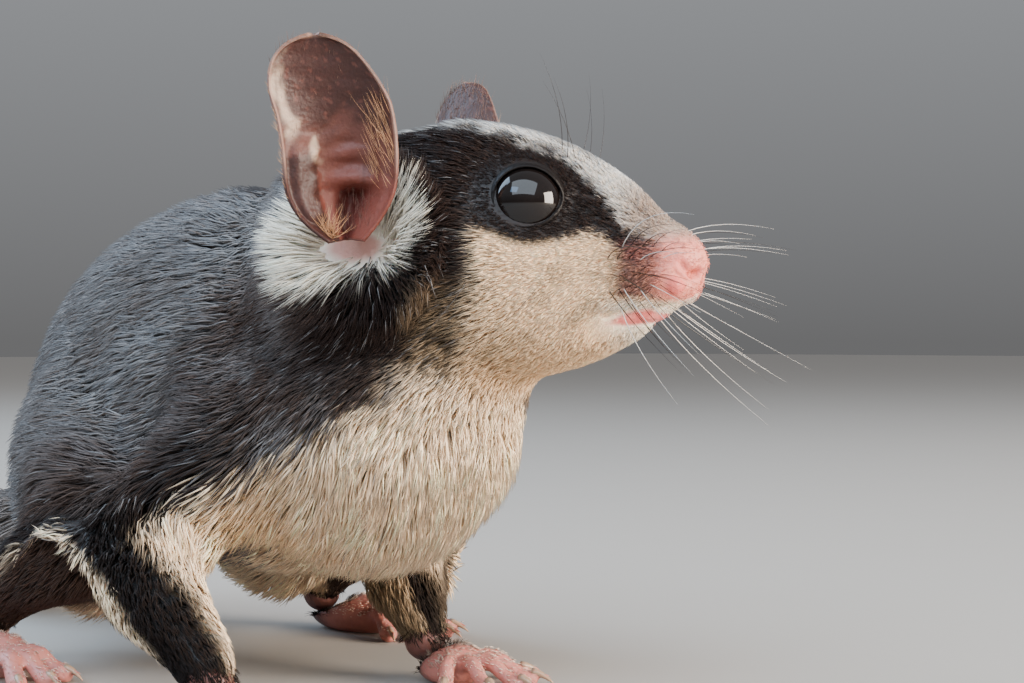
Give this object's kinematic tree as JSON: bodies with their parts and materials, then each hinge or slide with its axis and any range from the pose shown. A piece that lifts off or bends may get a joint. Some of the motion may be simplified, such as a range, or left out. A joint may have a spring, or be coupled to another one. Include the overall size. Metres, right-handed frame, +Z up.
{
  "type": "sugar glider",
  "caption": "Life-size museum model of a sugar glider crouching on the floor with its head turned to one side and its bushy tail laid out behind.",
  "frame": {"origin": "on the floor, under the middle of the animal's box", "axes": "+X the way the chest faces, from the tail to the nose; +Y to the animal's left; +Z up"},
  "size_m": [0.2396, 0.0778, 0.0654],
  "materials": {
    "coat_grey": "soft grey fur",
    "coat_cream": "soft cream fur",
    "coat_dark": "soft dark brown fur",
    "skin_pink": "bare pink skin",
    "ear_skin": "thin bare reddish brown skin",
    "eye_black": "wet gloss black"
  },
  "bodies": {
    "root": {"torso": "coat_grey", "neck": "coat_grey", "head": "coat_cream", "ear_left": "ear_skin", "ear_right": "ear_skin", "eye_left": "eye_black", "eye_right": "eye_black", "foreleg_left": "coat_dark", "foreleg_right": "coat_dark", "hand_left": "skin_pink", "hand_right": "skin_pink", "hindleg_left": "coat_grey", "hindleg_right": "coat_grey", "foot_left": "skin_pink", "foot_right": "skin_pink", "patagium_left": "coat_dark", "patagium_right": "coat_dark", "tail": "coat_grey"}
  },
  "joints": []
}
